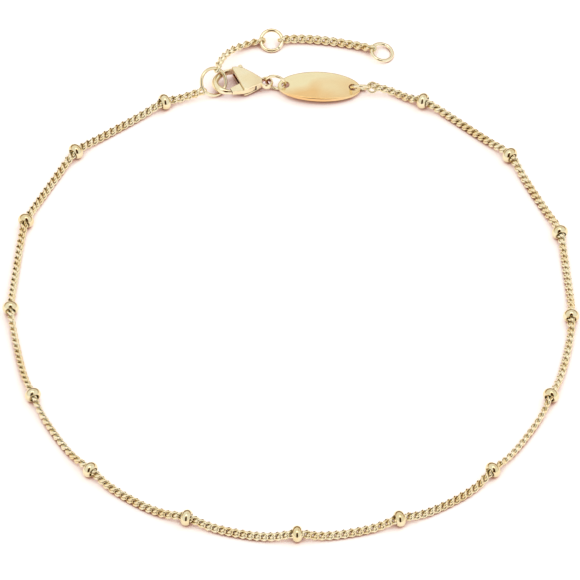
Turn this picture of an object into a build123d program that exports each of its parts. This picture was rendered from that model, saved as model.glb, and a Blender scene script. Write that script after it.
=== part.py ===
from build123d import *
import os
from math import cos, pi, radians, sin, tan

# A fine satellite-chain anklet lying closed on a flat surface, in millimetres.
# +Z is up, the surface is z = 0, and the extender lies at +Y, outside the loop.

# ---- driving dimensions ----
chain_diameter = 1.10       # outer width of the fine curb chain
bead_diameter = 2.15
bead_thickness = 1.15
bead_rounding = 0.30        # by how much its flat ends are smaller than its rim
bead_bore = 1.30            # the chain runs through with 0.1 mm round it

extender_wire = 0.30
extender_link_width = 1.14
extender_link_half = 0.75   # half the length of a link's centreline
extender_twist = -1.75      # how far the curb link is twisted out of flat, per mm
link_sides = 12
link_wire_sides = 6

clasp_ring_radius = 1.79    # centreline radii of the round rings
small_ring_radius = 1.42
ring_wire = 0.48
clasp_ring_wire = 0.46
jump_ring_radius = 1.25
jump_ring_wire = 0.40
end_link_radius = 0.65
end_link_wire = 0.30

tag_length = 11.0
tag_width = 4.7
tag_thickness = 0.60
tag_edge = 0.15             # rounding of its upper rim
tag_hole = 1.10
tag_hole_spacing = 8.94
tag_crown = 45.0            # radius of the slight dome on its upper face

clasp_thickness = 1.50
clasp_edge = 0.14           # rounding of the cheeks' rims
clasp_slot = 0.82           # height of the hollow in which the lever turns
lever_thickness = 0.68
pivot = (2.15, -0.20)       # in the clasp's own plane, from the eye towards the hook
pin_radius = 0.25
pin_length = 1.34
pin_offset = 0.09           # towards the lower cheek
gate_reach = 2.86           # from the pivot to the end of the gate
gate_gap = 0.09
eye_radius = 0.71
eye_half_width = 0.19
eye_half_height = 0.42

# The hook's line: along and aside in the clasp's plane, heading in degrees,
# then the half width in that plane and the half height of its oval section.
hook_rows = [
    (4.10, 1.95, -3, 0.20, 0.64),
    (5.45, 1.62, -27, 0.24, 0.60),
    (6.45, 0.86, -56, 0.40, 0.56),
    (6.82, -0.12, -96, 0.48, 0.54),
    (6.30, -1.10, -143, 0.44, 0.50),
    (5.42, -1.58, -168, 0.34, 0.42),
    (4.40, -1.70, -180, 0.24, 0.34),
]

# ---- places ----
clasp_eye = (-3.11, 32.74, 1.05)
clasp_lift = 1.0            # degrees by which the hook end is raised
clasp_ring_centre = (-10.12, 32.48, 1.60)
clasp_ring_tilt = 40.0      # far side up
clasp_ring_roll = 26.0      # left side up
middle_ring_centre = (-2.46, 40.20, 0.80)
middle_ring_tilt = 22.0     # far side up
end_ring_centre = (12.22, 38.37, 0.56)
end_ring_roll = 12.5        # left side up
tag_centre = (3.86, 32.15, 1.06)
tag_turn = -1.4             # about the vertical
tag_slope = 1.6             # left end up
left_jump_centre = (-1.89, 32.49, 1.47)
left_jump_turn = -11.7
right_jump_centre = (9.37, 31.74, 1.32)
right_jump_lean = 120.0
end_link_centre = (10.89, 31.74, 1.32)
end_link_tilt = 37.5

# The chain's line, one row for each turn: x, y, z. It rises at each bead.
chain_route = [
    (11.75, 31.80, 1.21), (13.45, 31.60, 0.80), (15.65, 30.35, 0.66),
    (17.60, 29.70, 1.21), (20.55, 27.85, 0.60), (26.15, 23.05, 0.62),
    (29.05, 20.60, 1.21), (30.45, 17.45, 0.62), (33.65, 11.10, 0.60),
    (35.35, 7.70, 1.21), (35.65, 4.50, 0.60), (36.35, -2.45, 0.62),
    (36.45, -6.10, 1.21), (36.30, -9.25, 0.62), (34.90, -15.70, 0.60),
    (33.55, -18.90, 1.21), (32.20, -22.20, 0.60), (28.40, -28.20, 0.62),
    (25.85, -30.75, 1.21), (23.50, -33.75, 0.62), (17.35, -37.50, 0.60),
    (13.90, -38.40, 1.21), (10.80, -39.75, 0.60), (4.25, -41.10, 0.62),
    (0.90, -40.75, 1.21), (-2.75, -41.30, 0.62), (-9.75, -39.80, 0.60),
    (-13.10, -38.20, 1.21), (-16.70, -37.45, 0.60), (-22.85, -33.55, 0.62),
    (-25.50, -30.75, 1.21), (-28.05, -28.25, 0.62), (-31.75, -22.15, 0.60),
    (-33.05, -18.85, 1.21), (-34.40, -15.35, 0.60), (-35.80, -8.25, 0.62),
    (-36.30, -4.80, 1.21), (-35.95, -0.95, 0.62), (-35.20, 6.25, 0.60),
    (-34.60, 9.60, 1.21), (-33.05, 12.85, 0.60), (-29.90, 18.65, 0.62),
    (-28.25, 21.20, 1.21), (-25.30, 23.55, 0.62), (-19.50, 27.60, 0.60),
    (-16.60, 29.55, 1.21), (-14.40, 30.30, 0.72), (-12.35, 30.90, 1.15),
]
bead_rows = range(3, 46, 3)   # the rows of the route that carry a bead

# The extender's two lengths: the control points of each curve, from ring to ring.
inner_curve = [(-9.54, 34.25, 2.46), (-9.18, 36.39, 2.34), (-7.64, 39.59, 0.40), (-4.18, 40.10, 0.75)]
outer_curve = [(-0.74, 40.34, 0.82), (2.47, 40.98, 0.66), (7.49, 39.97, 0.49), (10.61, 38.87, 0.82)]
inner_links = (9, 91.2, 142.7)    # how many, and the roll of the first and of the last
outer_links = (12, 84.2, 110.7)

# ---- frames ----
lift = radians(clasp_lift)
clasp_frame = Plane(
    origin=clasp_eye, x_dir=(-cos(lift), 0, sin(lift)), z_dir=(-sin(lift), 0, -cos(lift))
).location
clasp_ring_frame = Pos(*clasp_ring_centre) * Rot(X=clasp_ring_tilt) * Rot(Y=clasp_ring_roll)
tag_frame = Pos(*tag_centre) * Rot(Z=tag_turn) * Rot(Y=tag_slope)


def ring(frame, radius, wire):
    return frame * Torus(radius, wire / 2)


def save(name, shape):
    export_step(shape, f"parts/{name}.step")


# ---- the chain of the loop ----
def corner_radii(points):
    radii = []
    for before, here, after in zip(points, points[1:], points[2:]):
        arriving, leaving = here - before, after - here
        turn = radians(arriving.get_angle(leaving))
        radii.append(0.45 * min(arriving.length, leaving.length) / tan(turn / 2))
    return radii


def chain_tube(points, radii):
    path = FilletPolyline(*points, radius=radii)
    start = Plane(origin=path @ 0, z_dir=path % 0)
    return sweep(start * Circle(chain_diameter / 2), path=path), path.length


def bead_frame(before, here, after, radius):
    """The middle of the arc that rounds one corner of the route, with Z along the chain."""
    arriving, leaving = (here - before).normalized(), (after - here).normalized()
    half_turn = radians(arriving.get_angle(leaving)) / 2
    inward = (leaving - arriving).normalized()
    middle = here + inward * radius * (1 / cos(half_turn) - 1)
    return Plane(origin=middle, z_dir=arriving + leaving).location


def bead():
    """A rondelle: bulging rim, flat ends, straight bore along Z."""
    bore, half = bead_bore / 2, bead_thickness / 2
    shoulder = bead_diameter / 2 - bead_rounding
    profile = make_face(
        Polyline((shoulder, half), (bore, half), (bore, -half), (shoulder, -half))
        + ThreePointArc((shoulder, -half), (bead_diameter / 2, 0), (shoulder, half))
    )
    return revolve(Plane.XZ * profile, Axis.Z)


# ---- the extender's curb links ----
def link_section(angle):
    """The corners of the wire's section at one angle round a link's twisted oval."""
    half_width = (extender_link_width - extender_wire) / 2
    x, y = extender_link_half * cos(angle), half_width * sin(angle)
    dx, dy = -extender_link_half * sin(angle), half_width * cos(angle)
    centre = Vector(x, y, extender_twist * x * y)
    along = Vector(dx, dy, extender_twist * (dx * y + x * dy)).normalized()
    outward = along.cross(Vector(0, 0, 1)).normalized()
    upward = outward.cross(along)
    turns = [2 * pi * side / link_wire_sides for side in range(link_wire_sides)]
    reach = extender_wire / 2
    return [centre + outward * reach * cos(turn) + upward * reach * sin(turn) for turn in turns]


def curb_link():
    sections = [link_section(2 * pi * side / link_sides) for side in range(link_sides)]
    faces = []
    for here, there in zip(sections, sections[1:] + sections[:1]):
        for side in range(link_wire_sides):
            after = (side + 1) % link_wire_sides
            for corners in (
                (here[side], there[side], there[after]),
                (here[side], there[after], here[after]),
            ):
                faces.append(Face(Wire.make_polygon(corners, close=True)))
    return Solid(Shell(faces))


def links_along(curve_points, count, first_roll, last_roll):
    curve = Bezier(*curve_points)
    link = curb_link()
    links = []
    for number in range(count):
        share = number / (count - 1)
        distance = share * curve.length
        origin = curve.position_at(distance, position_mode=PositionMode.LENGTH)
        along = curve.tangent_at(distance, position_mode=PositionMode.LENGTH)
        upright = (Vector(0, 0, 1) - along * along.Z).normalized()
        roll = first_roll + share * (last_roll - first_roll)
        normal = upright.rotate(Axis((0, 0, 0), along), roll)
        links.append(link.moved(Plane(origin=origin, x_dir=along, z_dir=normal).location))
    print(f"extender links {count}, pitch {curve.length / (count - 1):.3f}")
    return Compound(links)


# ---- the clasp, in its own plane: X from the eye to the hook, Y across, Z through ----
def across(face, depth):
    return extrude(Plane.XZ * face, depth, both=True)


def through(face, height):
    return extrude(face, height / 2, both=True)


def clasp_cheek_outline():
    """Neck, straight flank, back, and the slanting edge in front of the throat."""
    edges = Line((0.55, 0.40), (2.95, 1.93))
    edges += ThreePointArc((2.95, 1.93), (3.70, 2.17), (4.62, 2.11))
    edges += Polyline(
        (4.62, 2.11), (4.48, 1.62), (2.92, -1.72), (2.55, -1.62), (0.55, -0.40), (0.55, 0.40)
    )
    return make_face(edges)


def clasp_side():
    """Seen from the side: full height over the back, thinner towards the eye."""
    half = clasp_thickness / 2
    edges = Line((0.3, 0.46), (0.55, 0.48)) + ThreePointArc((0.55, 0.48), (1.25, 0.66), (2.2, half))
    edges += Polyline((2.2, half), (4.8, half), (4.8, 0), (0.3, 0), (0.3, 0.46))
    upper = make_face(edges)
    return upper + mirror(upper, Plane.XZ)


def clasp_cheeks():
    """Both cheeks with the back and the neck that join them, hollow for the lever."""
    cheeks = through(clasp_cheek_outline(), 3) & across(clasp_side(), 4)
    rims = cheeks.edges().filter_by(lambda edge: abs(edge.center().Z) > 0.4)
    cheeks = fillet(rims, clasp_edge)
    hollow = make_face(
        Polyline((1.30, -3), (1.30, 0.30), (3.15, 1.56), (5.0, 1.72), (5.0, -3), close=True)
    )
    arm_slot = Pos(2.64, 1.5) * Rectangle(2.18, 2.6)
    cheeks -= through(hollow + arm_slot, clasp_slot)
    return cheeks - Pos(*pivot, pin_offset) * Cylinder(pin_radius + 0.02, pin_length + 0.04)


def hook_section(along, aside, heading, half_width, half_height):
    turn = radians(heading)
    plane = Plane(
        origin=(along, aside, 0), x_dir=(-sin(turn), cos(turn), 0), z_dir=(cos(turn), sin(turn), 0)
    )
    return plane * Ellipse(half_width, half_height)


def clasp_hook():
    """The hook, from the back round to the tip, which clears the swing of the gate."""
    hook = loft([hook_section(*row) for row in hook_rows])
    sweep_of_gate = Pos(*pivot) * Cylinder(gate_reach + gate_gap, 3)
    return hook - (sweep_of_gate & Pos(4.6, -1.7) * Box(1.6, 0.9, 3))


def clasp_eye_ring():
    section = Pos(eye_radius, 0) * Ellipse(eye_half_width, eye_half_height)
    return revolve(Plane.XZ * section, Axis.Z)


def clasp_body():
    return clasp_cheeks() + clasp_hook() + clasp_eye_ring()


def clasp_lever():
    """Gate, belly and thumb nub in one, turning between the cheeks. Drawn from its pivot."""
    edges = Polyline((-0.77, -0.55), (-0.30, -0.05), (0.30, 0.42), (1.45, -0.22), (3.0, -1.24))
    edges += Polyline((3.0, -1.24), (3.0, -1.70), (0.85, -1.47))
    edges += ThreePointArc((0.85, -1.47), (0.02, -1.17), (-0.77, -0.55))
    gate = make_face(edges) & Circle(gate_reach)
    arm = make_face(Polyline((-0.35, 0.2), (0.35, 0.2), (1.62, 2.62), (1.10, 2.75), close=True))
    flat = gate + Circle(0.50) + arm + Pos(1.36, 2.68) * Circle(0.30)
    return Pos(*pivot) * (through(flat, lever_thickness) - Cylinder(pin_radius + 0.04, 3))


def clasp_pin():
    """Riveted through the lower cheek only, so the upper one stays plain."""
    return Pos(*pivot, pin_offset) * Cylinder(pin_radius, pin_length)


def tag():
    """An oval plate, slightly domed, with a hole at each end."""
    plate = extrude(Ellipse(tag_length / 2, tag_width / 2), tag_thickness / 2, both=True)
    plate &= Pos(0, 0, tag_thickness / 2 - tag_crown) * Sphere(tag_crown)
    plate = fillet(plate.edges().sort_by(Axis.Z)[-1], tag_edge)
    for end in (-1, 1):
        plate -= Pos(end * tag_hole_spacing / 2, 0) * Cylinder(tag_hole / 2, 3)
    return plate


os.makedirs("parts", exist_ok=True)

route = [Vector(*point) for point in chain_route]
radii = corner_radii(route)
tube, tube_length = chain_tube(route, radii)
section = pi * chain_diameter**2 / 4
print("chain radii", " ".join(f"{radius:.1f}" for radius in radii))
print(f"chain length {tube_length:.1f}, volume {tube.volume:.2f} of {section * tube_length:.2f}")
save("main_chain", tube)

for number, row in enumerate(bead_rows, start=1):
    frame = bead_frame(*route[row - 1:row + 2], radii[row - 1])
    save(f"bead_{number:02d}", frame * bead())

save("clasp_ring", ring(clasp_ring_frame, clasp_ring_radius, clasp_ring_wire))
save("middle_ring", ring(
    Pos(*middle_ring_centre) * Rot(X=middle_ring_tilt), small_ring_radius, ring_wire))
save("end_ring", ring(
    Pos(*end_ring_centre) * Rot(Y=end_ring_roll), small_ring_radius, ring_wire))
save("tag_ring_left", ring(
    Pos(*left_jump_centre) * Rot(Z=left_jump_turn) * Rot(X=90), jump_ring_radius, jump_ring_wire))
save("tag_ring_right", ring(
    Pos(*right_jump_centre) * Rot(X=right_jump_lean), jump_ring_radius, jump_ring_wire))
save("chain_end_link", ring(
    Pos(*end_link_centre) * Rot(X=end_link_tilt), end_link_radius, end_link_wire))
save("extender_inner", links_along(inner_curve, *inner_links))
save("extender_outer", links_along(outer_curve, *outer_links))
save("tag", tag_frame * tag())
save("clasp_body", clasp_frame * clasp_body())
save("clasp_lever", clasp_frame * clasp_lever())
save("clasp_pin", clasp_frame * clasp_pin())
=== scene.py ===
import math

import bpy
from mathutils import Matrix, Vector


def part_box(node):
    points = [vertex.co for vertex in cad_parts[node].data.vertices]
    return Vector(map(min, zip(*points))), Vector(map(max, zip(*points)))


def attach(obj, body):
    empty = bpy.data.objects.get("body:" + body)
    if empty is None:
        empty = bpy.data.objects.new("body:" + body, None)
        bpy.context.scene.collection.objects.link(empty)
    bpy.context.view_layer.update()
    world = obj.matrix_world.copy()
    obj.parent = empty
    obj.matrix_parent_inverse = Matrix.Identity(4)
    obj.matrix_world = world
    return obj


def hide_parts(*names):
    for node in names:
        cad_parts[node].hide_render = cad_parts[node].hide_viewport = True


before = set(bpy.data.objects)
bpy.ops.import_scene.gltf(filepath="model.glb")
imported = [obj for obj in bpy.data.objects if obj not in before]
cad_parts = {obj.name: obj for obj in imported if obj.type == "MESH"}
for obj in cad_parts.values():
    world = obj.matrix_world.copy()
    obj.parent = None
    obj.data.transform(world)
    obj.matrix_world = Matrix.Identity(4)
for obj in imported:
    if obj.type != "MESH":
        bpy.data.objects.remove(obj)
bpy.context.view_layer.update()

mm = 0.001  # the scene is in metres, the sizes below in millimetres

bpy.context.scene.view_settings.view_transform = "Standard"


# camera: a long lens from far off, so that the loop keeps its true oval. Sizes in mm.
cameraSetup = {
    "lookAt": (0, -1.04, 0),
    "distance": 1040,
    "elevation": 52.5,
    "lens": 496.6,
    "sensor": 36,
    "near": 10,          # nothing nearer than this is drawn
}

elevation = math.radians(cameraSetup["elevation"])
cameraPlace = Vector(cameraSetup["lookAt"]) + cameraSetup["distance"] * Vector(
    (0, -math.cos(elevation), math.sin(elevation))
)
bpy.ops.object.camera_add(
    location=cameraPlace * mm, rotation=(math.pi / 2 - elevation, 0, 0)
)
camera = bpy.context.object
camera.name = "tableCamera"
camera.data.lens = cameraSetup["lens"]
camera.data.sensor_width = cameraSetup["sensor"]
camera.data.clip_start = cameraSetup["near"] * mm
bpy.context.scene.camera = camera
print("camera set")


def toLinear(hexCode):
    # sRGB hex to the linear colour that the shaders take
    parts = [int(hexCode[i:i + 2], 16) / 255 for i in (0, 2, 4)]
    return [p / 12.92 if p <= 0.04045 else ((p + 0.055) / 1.055) ** 2.4 for p in parts] + [1]


def addNode(tree, kind, settings=None, links=None):
    # settings: node attribute or socket -> value; links: socket -> output of another node
    node = tree.nodes.new(kind)
    for key, value in (settings or {}).items():
        if isinstance(key, str) and hasattr(node, key):
            setattr(node, key, value)
        else:
            node.inputs[key].default_value = value
    for key, output in (links or {}).items():
        tree.links.new(output, node.inputs[key])
    return node


def newMaterial(name):
    material = bpy.data.materials.new(name)
    material.use_nodes = True
    material.node_tree.nodes.clear()
    return material, material.node_tree


# gold plate over brass, smoothed before plating. Sizes in mm.
#   plate and thin: the pale yellow plate, and its warmer tone where it is rubbed thin
#   patch: how wide those tones are; paintedReflectionLean: how the thin tone gathers towards one
#   side, per mm, as a painted warm reflection
#   grain: the size of the polishing marks, drawn coarser than they are so that they show
#   ripple: how deep the marks are, which keeps the mirror from looking printed
#   hollow: painted shade, a brown darkening between the links and in tight corners, and
#   reach: how narrow a hollow has to be to take that painted shade
#   edge: how far the cast or stamped edges are rounded, so that they catch a line of light
finishes = {
    # drawn wire, soldered and tumbled: small bright lights, and painted brown shade between the
    # links
    "chain": {
        "name": "gold_plated_brass_drawn_wire_chain",
        "plate": "F1E8C6", "thin": "EBD9AA", "patch": 2.0,
        "roughness": 0.06, "grain": 0.3, "ripple": 0.001, "edge": 0,
        # painted shade between the links
        "hollow": "80440C", "reach": 0.30,
    },
    # tumbled round: the sharpest mirror of all, which shows the lens slit as one dark notch
    "bead": {
        "name": "gold_plated_brass_tumbled_bead",
        "plate": "EAE0BC", "thin": "E4D4A6", "patch": 1.5,
        "roughness": 0.05, "grain": 0.4, "ripple": 0.001, "edge": 0.04,
        # painted shade where the chain runs through the bead
        "hollow": "8A6430", "reach": 0.3,
    },
    # drawn wire, bent and left as it came: a long even light along the ring
    "wire": {
        "name": "gold_plated_brass_drawn_wire_ring",
        "plate": "F2EACA", "thin": "EDE0B8", "patch": 2.5,
        "roughness": 0.07, "grain": 0.4, "ripple": 0.002, "edge": 0,
        # painted shade where the links run through the ring
        "hollow": "8A6430", "reach": 0.3,
    },
    # cast and tumbled: a satin sheen, bright lines on its edges, and painted deep brown shade
    # inside
    "clasp": {
        "name": "gold_plated_brass_cast_clasp",
        "plate": "F6EDCC", "thin": "F3E3B8", "patch": 3.0,
        "roughness": 0.15, "grain": 0.5, "ripple": 0.003, "edge": 0.08,
        # painted shade, deep brown, inside the clasp
        "hollow": "A84A1C", "reach": 1.8,
    },
    # stamped from sheet, satin: a broad soft sheen, with a painted warm reflection towards the
    # loop
    "tag": {
        "name": "gold_plated_brass_stamped_tag",
        "plate": "F4E6B8", "thin": "EFC78A", "patch": 7.0,
        # painted reflection: the warm thin tone is pushed towards the tag's near edge
        "paintedReflectionLean": (-0.006, 0.085, 0, -2.66),  # share per mm along X, Y and Z, and its start
        "roughness": 0.19, "grain": 0.6, "ripple": 0.003, "edge": 0.06,
        # painted shade where the rings run through the tag
        "hollow": "8A6430", "reach": 0.4,
    },
}

# what all the finishes share
plating = {
    "thinTo": 0.35,          # where the cloud of wear shows the thin tone alone
    "plateFrom": 0.60,       # and where it shows the plate alone
    "hollowTo": 0.05,        # how open a place is that takes the whole painted shade
    "unshadedFrom": 0.70,       # and one that takes none of it
    "marks": (0.3, 0.7),     # the range that the polishing marks fill
    "gloss": (0.75, 1.3),    # roughness at the ends of that range, as shares of the finish's own
    "ripple": 0.5,
}


def polishedPlate(finish):
    material, tree = newMaterial(finish["name"])
    place = addNode(tree, "ShaderNodeTexCoord").outputs["Object"]
    cloud = addNode(
        tree,
        "ShaderNodeTexNoise",
        {"Scale": 1 / (finish["patch"] * mm), "Detail": 2.0},
        {"Vector": place},
    )
    worn = cloud.outputs["Fac"]
    # painted reflection: a slope through space pushes the tone towards one side
    if "paintedReflectionLean" in finish:
        *direction, start = finish["paintedReflectionLean"]
        across = addNode(
            tree,
            "ShaderNodeVectorMath",
            {"operation": "DOT_PRODUCT", 1: [share / mm for share in direction]},
            {0: place},
        )
        paintedReflectionSlope = addNode(
            tree, "ShaderNodeMath", {"operation": "ADD", 1: start}, {0: across.outputs["Value"]}
        )
        worn = addNode(
            tree, "ShaderNodeMath", {"operation": "ADD"}, {0: worn, 1: paintedReflectionSlope.outputs[0]}
        ).outputs[0]
    tone = addNode(tree, "ShaderNodeValToRGB", None, {"Fac": worn})
    tone.color_ramp.elements[0].position = plating["thinTo"]
    tone.color_ramp.elements[0].color = toLinear(finish["thin"])
    tone.color_ramp.elements[1].position = plating["plateFrom"]
    tone.color_ramp.elements[1].color = toLinear(finish["plate"])
    # painted shade: the colour turns to the brown shade tone where neighbours close in
    openness = addNode(
        tree, "ShaderNodeAmbientOcclusion", {"samples": 8, "Distance": finish["reach"] * mm}
    )
    unshaded = addNode(
        tree,
        "ShaderNodeMapRange",
        {
            "interpolation_type": "SMOOTHSTEP",
            "From Min": plating["hollowTo"],
            "From Max": plating["unshadedFrom"],
        },
        {"Value": openness.outputs["AO"]},
    )
    colour = addNode(
        tree,
        "ShaderNodeMix",
        {"data_type": "RGBA", 6: toLinear(finish["hollow"])},
        {0: unshaded.outputs["Result"], 7: tone.outputs["Color"]},
    )
    marks = addNode(
        tree,
        "ShaderNodeTexNoise",
        {"Scale": 1 / (finish["grain"] * mm), "Detail": 4.0},
        {"Vector": place},
    )
    gloss = addNode(
        tree,
        "ShaderNodeMapRange",
        {
            "From Min": plating["marks"][0],
            "From Max": plating["marks"][1],
            "To Min": finish["roughness"] * plating["gloss"][0],
            "To Max": finish["roughness"] * plating["gloss"][1],
        },
        {"Value": marks.outputs["Fac"]},
    )
    ripple = addNode(
        tree,
        "ShaderNodeBump",
        {"Strength": plating["ripple"], "Distance": finish["ripple"] * mm},
        {"Height": marks.outputs["Fac"]},
    )
    if finish["edge"]:
        edge = addNode(tree, "ShaderNodeBevel", {"samples": 6, "Radius": finish["edge"] * mm})
        tree.links.new(edge.outputs["Normal"], ripple.inputs["Normal"])
    shader = addNode(
        tree,
        "ShaderNodeBsdfPrincipled",
        {"Metallic": 1.0},
        {
            "Base Color": colour.outputs[2],
            "Roughness": gloss.outputs["Result"],
            "Normal": ripple.outputs["Normal"],
        },
    )
    addNode(tree, "ShaderNodeOutputMaterial", None, {"Surface": shader.outputs["BSDF"]})
    return material


gold = {use: polishedPlate(finish) for use, finish in finishes.items()}
print("materials made")


def dressNode(nodeName, material):
    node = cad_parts[nodeName]
    if not node.material_slots:
        node.data.materials.append(None)
    for slot in node.material_slots:
        slot.material = material


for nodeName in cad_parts:
    if nodeName.startswith("bead"):
        dressNode(nodeName, gold["bead"])
    elif nodeName.startswith("extender") or nodeName == "main_chain":
        dressNode(nodeName, gold["chain"])
    elif "ring" in nodeName or nodeName == "chain_end_link":
        dressNode(nodeName, gold["wire"])
    elif nodeName.startswith("clasp"):
        dressNode(nodeName, gold["clasp"])
    elif nodeName == "tag":
        dressNode(nodeName, gold["tag"])


def clearSelection():
    if bpy.context.object and bpy.context.object.mode != "OBJECT":
        bpy.ops.object.mode_set(mode="OBJECT")
    bpy.ops.object.select_all(action="DESELECT")


def pickVertices(piece, wanted):
    # leaves the piece in edit mode with the wanted vertices selected
    bpy.context.view_layer.objects.active = piece
    bpy.ops.object.mode_set(mode="EDIT")
    bpy.ops.mesh.select_mode(type="VERT")
    bpy.ops.mesh.select_all(action="DESELECT")
    bpy.ops.object.mode_set(mode="OBJECT")
    for vertex in piece.data.vertices:
        vertex.select = wanted(vertex.co)
    bpy.ops.object.mode_set(mode="EDIT")


def applyAll(piece):
    # modifiers first, then the place goes into the mesh
    clearSelection()
    piece.select_set(True)
    bpy.context.view_layer.objects.active = piece
    for modifier in list(piece.modifiers):
        bpy.ops.object.modifier_apply(modifier=modifier.name)
    bpy.ops.object.transform_apply(location=True, rotation=True, scale=True)


def placeCopy(source, matrix, name):
    copy = source.copy()
    copy.data = source.data.copy()
    copy.name = name
    copy.data.transform(matrix)
    bpy.context.scene.collection.objects.link(copy)
    return copy


def joinPieces(parts, name):
    clearSelection()
    for part in parts:
        part.select_set(True)
    bpy.context.view_layer.objects.active = parts[0]
    bpy.ops.object.join()
    joined = bpy.context.object
    joined.name = joined.data.name = name
    return joined


def dressPiece(piece, material, nodeName):
    piece.data.materials.clear()
    piece.data.materials.append(material)
    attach(piece, "anklet")
    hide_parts(nodeName)


# curb links, the same kind in the loop and in the extender. Sizes in mm. The wire is thicker than
# a real chain's, so that neighbours run into each other a little and the chain closes up.
curbLinks = {
    "loop": {
        "wire": 0.50,
        "width": 1.29,
        "length": 1.87,      # over the wire
        "twist": -1.6,       # radians per mm of length, left-handed
        "roundSides": 14,
        "wireSides": 5,
    },
    "extender": {
        "wire": 0.49,
        "width": 1.29,
        "length": 1.96,
        "twist": -1.6,
        "roundSides": 24,
        "wireSides": 8,
    },
}
# degrees to each side of a link's tip that each pull draws out: the tip alone first, then more
# and more of the ring, so that its sides stay even
drawSpreads = (40, 65, 80)


def makeCurbLink(sizes):
    # a ring of wire, drawn out at both ends into a long link, then twisted
    clearSelection()
    roundHalf = (sizes["width"] - sizes["wire"]) / 2
    straightHalf = (sizes["length"] - sizes["width"]) / 2
    bpy.ops.mesh.primitive_torus_add(
        major_radius=roundHalf * mm,
        minor_radius=sizes["wire"] / 2 * mm,
        major_segments=sizes["roundSides"],
        minor_segments=sizes["wireSides"],
    )
    link = bpy.context.object
    for end in (-1, 1):
        for spread in drawSpreads:
            pickVertices(
                link, lambda place: abs(math.atan2(place.y, end * place.x)) < math.radians(spread)
            )
            bpy.ops.transform.translate(value=(end * straightHalf / len(drawSpreads) * mm, 0, 0))
            bpy.ops.object.mode_set(mode="OBJECT")
    twist = link.modifiers.new("twist", "SIMPLE_DEFORM")
    twist.deform_method = "TWIST"
    twist.deform_axis = "X"
    twist.angle = sizes["twist"] * sizes["length"]
    applyAll(link)
    bpy.ops.object.shade_smooth()
    return link


def linkPlace(place, along, roll):
    upright = (Vector((0, 0, 1)) - along * along.z).normalized()
    normal = Matrix.Rotation(math.radians(roll), 3, along) @ upright
    side = normal.cross(along)
    turn = Matrix((along, side, normal)).transposed().to_4x4()
    return Matrix.Translation(place * mm) @ turn


def curbChain(sizes, places, name):
    # places: where each link lies, which way the chain runs there, and the link's roll
    link = makeCurbLink(sizes)
    links = [
        placeCopy(link, linkPlace(*place), f"link{number}") for number, place in enumerate(places)
    ]
    bpy.data.objects.remove(link)
    chain = joinPieces(links, name)
    print(f"{name}: {len(places)} links, {len(chain.data.polygons)} faces")
    return chain


# the loop's line, one point to each bend; it rises at each bead
chainRoute = [
    (11.75, 31.80, 1.21), (13.45, 31.60, 0.80), (15.65, 30.35, 0.66),
    (17.60, 29.70, 1.21), (20.55, 27.85, 0.60), (26.15, 23.05, 0.62),
    (29.05, 20.60, 1.21), (30.45, 17.45, 0.62), (33.65, 11.10, 0.60),
    (35.35, 7.70, 1.21), (35.65, 4.50, 0.60), (36.35, -2.45, 0.62),
    (36.45, -6.10, 1.21), (36.30, -9.25, 0.62), (34.90, -15.70, 0.60),
    (33.55, -18.90, 1.21), (32.20, -22.20, 0.60), (28.40, -28.20, 0.62),
    (25.85, -30.75, 1.21), (23.50, -33.75, 0.62), (17.35, -37.50, 0.60),
    (13.90, -38.40, 1.21), (10.80, -39.75, 0.60), (4.25, -41.10, 0.62),
    (0.90, -40.75, 1.21), (-2.75, -41.30, 0.62), (-9.75, -39.80, 0.60),
    (-13.10, -38.20, 1.21), (-16.70, -37.45, 0.60), (-22.85, -33.55, 0.62),
    (-25.50, -30.75, 1.21), (-28.05, -28.25, 0.62), (-31.75, -22.15, 0.60),
    (-33.05, -18.85, 1.21), (-34.40, -15.35, 0.60), (-35.80, -8.25, 0.62),
    (-36.30, -4.80, 1.21), (-35.95, -0.95, 0.62), (-35.20, 6.25, 0.60),
    (-34.60, 9.60, 1.21), (-33.05, 12.85, 0.60), (-29.90, 18.65, 0.62),
    (-28.25, 21.20, 1.21), (-25.30, 23.55, 0.62), (-19.50, 27.60, 0.60),
    (-16.60, 29.55, 1.21), (-14.40, 30.30, 0.72), (-12.35, 30.90, 1.15),
]

loopChain = {
    "beads": 15,
    "pitch": 0.93,
    "overrun": 0.5,      # how far the end links reach past the route, into their rings
    # how far each stretch between beads has rolled over, from the tag round to the clasp
    "rolls": [85, 85, 70, 60, 50, 75, 108, 115, 117, 108, 85, 62, 60, 68, 75, 75],
}

splineSteps = {"NURBS": 24, "BEZIER": 120}  # to each stretch of a spline


def sampleSpline(name, points, kind):
    # the points along a spline, in mm: kind NURBS as the route bends, or BEZIER with four points
    curve = bpy.data.curves.new(name, "CURVE")
    curve.dimensions = "3D"
    curve.resolution_u = splineSteps[kind]
    spline = curve.splines.new(kind)
    if kind == "NURBS":
        spline.points.add(len(points) - 1)
        for point, place in zip(spline.points, points):
            point.co = (*(Vector(place) * mm), 1)
        spline.order_u = 3
        spline.use_endpoint_u = True
    else:
        start, leaving, arriving, end = [Vector(place) * mm for place in points]
        spline.bezier_points.add(1)
        first, last = spline.bezier_points
        first.co, first.handle_right, first.handle_left = start, leaving, 2 * start - leaving
        last.co, last.handle_left, last.handle_right = end, arriving, 2 * end - arriving
    holder = bpy.data.objects.new(name, curve)
    bpy.context.scene.collection.objects.link(holder)
    line = bpy.data.meshes.new_from_object(holder)
    sampled = [vertex.co / mm for vertex in line.vertices]
    bpy.data.objects.remove(holder)
    bpy.data.curves.remove(curve)
    bpy.data.meshes.remove(line)
    return sampled


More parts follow.
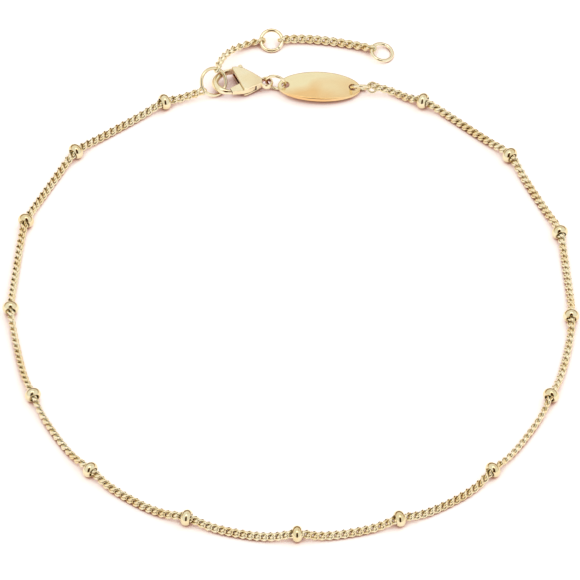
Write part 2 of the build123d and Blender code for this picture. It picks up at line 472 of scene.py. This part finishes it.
class Walk:
    # where a distance along a sampled line falls
    def __init__(self, points):
        self.points = points
        self.reached = [0.0]
        for here, there in zip(points, points[1:]):
            self.reached.append(self.reached[-1] + (there - here).length)
        self.length = self.reached[-1]

    def at(self, distance):
        # past either end, the line runs straight on
        last = len(self.points) - 2
        index = max([i for i in range(last + 1) if self.reached[i] <= distance] or [0])
        here, there = self.points[index], self.points[index + 1]
        share = (distance - self.reached[index]) / (self.reached[index + 1] - self.reached[index])
        return here.lerp(there, share), (there - here).normalized()

    def nearest(self, place):
        index = min(range(len(self.points)), key=lambda i: (self.points[i] - place).length)
        return self.reached[index]


def loopPlaces():
    loop = Walk(sampleSpline("loopRoute", chainRoute, "NURBS"))
    beadNumbers = range(1, loopChain["beads"] + 1)
    beadMiddles = [sum(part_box(f"bead_{n:02d}"), Vector()) / 2 / mm for n in beadNumbers]
    stops = [-loopChain["overrun"]]
    stops += [loop.nearest(middle) for middle in beadMiddles]
    stops.append(loop.length + loopChain["overrun"])
    places = []
    for start, end, roll in zip(stops, stops[1:], loopChain["rolls"]):
        count = round((end - start) / loopChain["pitch"])
        step = (end - start) / count
        places += [(*loop.at(start + step * number), roll) for number in range(count)]
    places.append((*loop.at(stops[-1]), loopChain["rolls"][-1]))
    return places


chain = curbChain(curbLinks["loop"], loopPlaces(), "curb_chain_loop")
dressPiece(chain, gold["chain"], "main_chain")
print("chain made")


# the extender's two lengths: the control points of each curve, from ring to ring, and how far
# its first, middle and last links have rolled over
extenderLengths = {
    "inner": {
        "curve": [
            (-9.54, 34.25, 2.46), (-9.18, 36.39, 2.34),
            (-7.64, 39.59, 0.40), (-4.18, 40.10, 0.75),
        ],
        "links": 9,
        "rolls": (91, 108, 125),
    },
    "outer": {
        "curve": [
            (-0.74, 40.34, 0.82), (2.47, 40.98, 0.66),
            (7.49, 39.97, 0.49), (10.61, 38.87, 0.82),
        ],
        "links": 12,
        "rolls": (84, 73, 110),
    },
}
humpPower = 0.7  # below 1, the middle roll holds over more of the length


def extenderPlaces(part):
    walk = Walk(sampleSpline("extenderLine", part["curve"], "BEZIER"))
    first, middle, last = part["rolls"]
    places = []
    for number in range(part["links"]):
        share = number / (part["links"] - 1)
        # straight from first to last, drawn towards the middle roll by a smooth hump
        roll = first + (last - first) * share
        roll += (middle - (first + last) / 2) * math.sin(math.pi * share) ** humpPower
        places.append((*walk.at(share * walk.length), roll))
    return places


for partName, part in extenderLengths.items():
    extender = curbChain(
        curbLinks["extender"], extenderPlaces(part), f"curb_chain_extender_{partName}"
    )
    dressPiece(extender, gold["chain"], f"extender_{partName}")
print("extender made")


# round rings of wire, bent shut. Sizes in mm: radius is the wire's centreline. turns are about
# the axis named, and seam is where the two ends meet, both in degrees.
rings = {
    "clasp_ring": {
        "middle": (-10.12, 32.48, 1.60), "turns": (("X", 40), ("Y", 26)),
        "radius": 1.79, "wire": 0.46, "seam": 200,
    },
    "middle_ring": {
        "middle": (-2.46, 40.20, 0.80), "turns": (("X", 22),),
        "radius": 1.42, "wire": 0.48, "seam": -50,
    },
    "end_ring": {
        "middle": (12.22, 38.37, 0.56), "turns": (("Y", 12.5),),
        "radius": 1.42, "wire": 0.48, "seam": 70,
    },
    "tag_ring_left": {
        "middle": (-1.89, 32.49, 1.47), "turns": (("Z", -11.7), ("X", 90)),
        "radius": 1.25, "wire": 0.40, "seam": 250,
    },
    "tag_ring_right": {
        "middle": (9.37, 31.74, 1.32), "turns": (("X", 120),),
        "radius": 1.25, "wire": 0.40, "seam": 250,
    },
    "chain_end_link": {
        "middle": (10.89, 31.74, 1.32), "turns": (("X", 37.5),),
        "radius": 0.65, "wire": 0.30, "seam": 120,
    },
}
bentWire = {
    "sides": 72,
    "wireSides": 16,
    "seamGap": 1.6,      # degrees that the seam stands open
    "rounding": 0.03,    # of the wire's cut ends
}


def jumpRing(name, sizes):
    clearSelection()
    bpy.ops.mesh.primitive_torus_add(
        major_radius=sizes["radius"] * mm,
        minor_radius=sizes["wire"] / 2 * mm,
        major_segments=bentWire["sides"],
        minor_segments=bentWire["wireSides"],
    )
    ring = bpy.context.object
    ring.name = ring.data.name = name
    step = 360 / bentWire["sides"]

    def angleOf(place):
        return math.degrees(math.atan2(place.y, place.x))

    # one slice of the ring comes out, and its far side is brought back to leave a fine seam
    pickVertices(ring, lambda place: -0.5 * step < angleOf(place) < 1.5 * step)
    bpy.ops.mesh.select_mode(type="FACE")
    bpy.ops.mesh.delete(type="FACE")
    pickVertices(ring, lambda place: 0.5 * step < angleOf(place) < 1.5 * step)
    bpy.ops.transform.rotate(
        value=math.radians(step - bentWire["seamGap"]),
        orient_axis="Z",
        center_override=(0, 0, 0),
    )
    bpy.ops.mesh.select_all(action="DESELECT")
    bpy.ops.mesh.select_mode(type="EDGE")
    bpy.ops.mesh.select_non_manifold()
    bpy.ops.mesh.fill_holes(sides=0)
    bpy.ops.mesh.bevel(offset=bentWire["rounding"] * mm, segments=2, affect="EDGES")
    bpy.ops.mesh.select_all(action="SELECT")
    bpy.ops.mesh.normals_make_consistent(inside=False)
    bpy.ops.object.mode_set(mode="OBJECT")
    bpy.ops.object.shade_smooth_by_angle(angle=math.radians(40))
    matrix = Matrix.Translation(Vector(sizes["middle"]) * mm)
    for axis, degrees in sizes["turns"]:
        matrix = matrix @ Matrix.Rotation(math.radians(degrees), 4, axis)
    ring.data.transform(matrix @ Matrix.Rotation(math.radians(sizes["seam"]), 4, "Z"))
    return ring


for nodeName, sizes in rings.items():
    ring = jumpRing(f"{nodeName}_bent_wire", sizes)
    dressPiece(ring, gold["wire"], nodeName)
print("rings made")


# white acrylic, cast matt, that glows a little, so that only the deep shadows show on it. Close
# under the metal a painted shadow, brown to orange, darkens it and dims its glow, standing for
# shade and the gold's warm bounce light.
tableTop = {
    "radius": 1500,          # mm
    "sides": 96,
    "white": "FFFFFF",
    "glow": "FFEBE6",
    "strength": 0.27,
    "under": "7C360C",       # painted shadow colour where the metal closes over the table
    "beside": "C4763A",      # painted shadow colour where it half closes
    "half": 0.50,
    "reach": 2.0,            # mm over the table that still count
    "openness": (0.20, 0.56),  # from wholly under the metal to clear of it
}

clearSelection()
bpy.ops.mesh.primitive_circle_add(
    vertices=tableTop["sides"], radius=tableTop["radius"] * mm, fill_type="NGON"
)
table = bpy.context.object
table.name = "table_top"
white, tree = newMaterial("matt_white_acrylic_table")
rays = addNode(tree, "ShaderNodeLightPath")
straight = rays.outputs["Is Camera Ray"]
for kind in ("Is Glossy Ray", "Is Transmission Ray"):
    straight = addNode(
        tree, "ShaderNodeMath", {"operation": "MAXIMUM"}, {0: straight, 1: rays.outputs[kind]}
    ).outputs[0]
# painted shadow: where the ambient occlusion finds metal close above, the table turns brown and
# its glow fades
openness = addNode(
    tree, "ShaderNodeAmbientOcclusion", {"samples": 12, "Distance": tableTop["reach"] * mm}
)
unshaded = addNode(
    tree,
    "ShaderNodeMapRange",
    {"From Min": tableTop["openness"][0], "From Max": tableTop["openness"][1]},
    {"Value": openness.outputs["AO"]},
).outputs["Result"]
whiteWithPaintedShadow = addNode(tree, "ShaderNodeValToRGB", None, {"Fac": unshaded})
whiteWithPaintedShadow.color_ramp.elements[0].color = toLinear(tableTop["under"])
whiteWithPaintedShadow.color_ramp.elements.new(tableTop["half"]).color = toLinear(tableTop["beside"])
whiteWithPaintedShadow.color_ramp.elements[2].color = toLinear(tableTop["white"])
paper = addNode(tree, "ShaderNodeBsdfDiffuse", None, {"Color": whiteWithPaintedShadow.outputs["Color"]})
glowing = addNode(tree, "ShaderNodeMath", {"operation": "MULTIPLY"}, {0: straight, 1: unshaded})
strength = addNode(
    tree,
    "ShaderNodeMath",
    {"operation": "MULTIPLY", 1: tableTop["strength"]},
    {0: glowing.outputs[0]},
)
glow = addNode(
    tree,
    "ShaderNodeEmission",
    {"Color": toLinear(tableTop["glow"])},
    {"Strength": strength.outputs[0]},
)
surface = addNode(tree, "ShaderNodeAddShader", None, {0: paper.outputs[0], 1: glow.outputs[0]})
addNode(tree, "ShaderNodeOutputMaterial", None, {"Surface": surface.outputs["Shader"]})
table.data.materials.append(white)
print("table set")


# the white tent round the table, with the darker things in it that the metal mirrors
tent = {
    "seen": "FFFFFF",        # what stands behind the table
    "fill": "FAF3F0",        # what it gives the table, rosy beside the lamp's light
    "cloth": {0.0: "3E2008", 0.45: "D2A66A", 1.0: "FFFFFF"},  # the darker cloth is warmer too
    "roof": 0.98,            # how bright the metal finds it
    # the patches: middle and reach on the unit sphere, the share of the reach that is even, and
    # how bright that is beside the cloth round it
    "patches": {
        "lens slit": ((0, -0.80, 0.45), (0.38, 0.95, 0.80), 0.75, 0.0),
        "roof seam": ((0.45, 0.40, 0.80), (0.45, 0.45, 0.45), 0.1, 0.74),
        "far wall": ((0, 1, 0), (1.9, 1.6, 0.62), 0.35, 0.0),
    },
    "skylight": ((0, -0.22, 0.97), (0.45, 0.45, 0.45), 0.30, 2.2),  # brighter than the cloth
}


def tentPatch(tree, towards, middle, reach, even, brightness):
    # its brightness inside the patch, 1 outside, with a soft edge between
    offset = addNode(
        tree, "ShaderNodeVectorMath", {"operation": "SUBTRACT", 1: middle}, {0: towards}
    )
    scaled = addNode(
        tree,
        "ShaderNodeVectorMath",
        {"operation": "DIVIDE", 1: reach},
        {0: offset.outputs["Vector"]},
    )
    away = addNode(
        tree, "ShaderNodeVectorMath", {"operation": "LENGTH"}, {0: scaled.outputs["Vector"]}
    )
    patch = addNode(
        tree,
        "ShaderNodeMapRange",
        {
            "interpolation_type": "SMOOTHSTEP",
            "From Min": even,
            "From Max": 1.0,
            "To Min": brightness,
            "To Max": 1.0,
        },
        {"Value": away.outputs["Value"]},
    )
    return patch.outputs["Result"]


def addTent():
    world = bpy.data.worlds.new("soft_tent")
    bpy.context.scene.world = world
    world.use_nodes = True
    tree = world.node_tree
    tree.nodes.clear()
    towards = addNode(tree, "ShaderNodeTexCoord").outputs["Generated"]
    cloth = addNode(tree, "ShaderNodeValToRGB")
    ramp = cloth.color_ramp.elements
    while len(ramp) < len(tent["cloth"]):
        ramp.new(0.5)
    for element, (position, tone) in zip(ramp, tent["cloth"].items()):
        element.position = position
        element.color = toLinear(tone)
    brightness = None
    for patch in tent["patches"].values():
        shade = tentPatch(tree, towards, *patch)
        if brightness:
            shade = addNode(
                tree, "ShaderNodeMath", {"operation": "MULTIPLY"}, {0: shade, 1: brightness}
            ).outputs[0]
        brightness = shade
    tree.links.new(brightness, cloth.inputs["Fac"])
    gain = tentPatch(tree, towards, *tent["skylight"])
    strength = addNode(
        tree, "ShaderNodeMath", {"operation": "MULTIPLY", 1: tent["roof"]}, {0: gain}
    )
    rays = addNode(tree, "ShaderNodeLightPath").outputs
    seen = addNode(
        tree,
        "ShaderNodeMath",
        {"operation": "MAXIMUM"},
        {0: rays["Is Camera Ray"], 1: rays["Is Transmission Ray"]},
    )
    wall = addNode(tree, "ShaderNodeBackground", {"Color": toLinear(tent["seen"])})
    fill = addNode(tree, "ShaderNodeBackground", {"Color": toLinear(tent["fill"])})
    image = addNode(
        tree,
        "ShaderNodeBackground",
        None,
        {"Color": cloth.outputs["Color"], "Strength": strength.outputs[0]},
    )
    lit = addNode(
        tree,
        "ShaderNodeMixShader",
        None,
        {0: seen.outputs[0], 1: fill.outputs[0], 2: wall.outputs[0]},
    )
    surface = addNode(
        tree,
        "ShaderNodeMixShader",
        None,
        {0: rays["Is Glossy Ray"], 1: lit.outputs[0], 2: image.outputs[0]},
    )
    addNode(tree, "ShaderNodeOutputWorld", None, {"Surface": surface.outputs["Shader"]})


addTent()

# a wide soft lamp high behind the right shoulder of the piece, for the direction of the shadows.
# Its place and size are in metres.
roofLamp = {"place": (0.55, 0.35, 0.9), "size": 0.8, "power": 1.5, "colour": "EAF4FF"}
bpy.ops.object.light_add(type="AREA", location=roofLamp["place"])
lamp = bpy.context.object
lamp.name = "roof_lamp"
lamp.data.shape = "DISK"
lamp.data.size = roofLamp["size"]
lamp.data.energy = roofLamp["power"]
lamp.data.color = toLinear(roofLamp["colour"])[:3]
lamp.rotation_euler = (-Vector(roofLamp["place"])).to_track_quat("-Z", "Y").to_euler()
lamp.visible_glossy = False
print("light set")
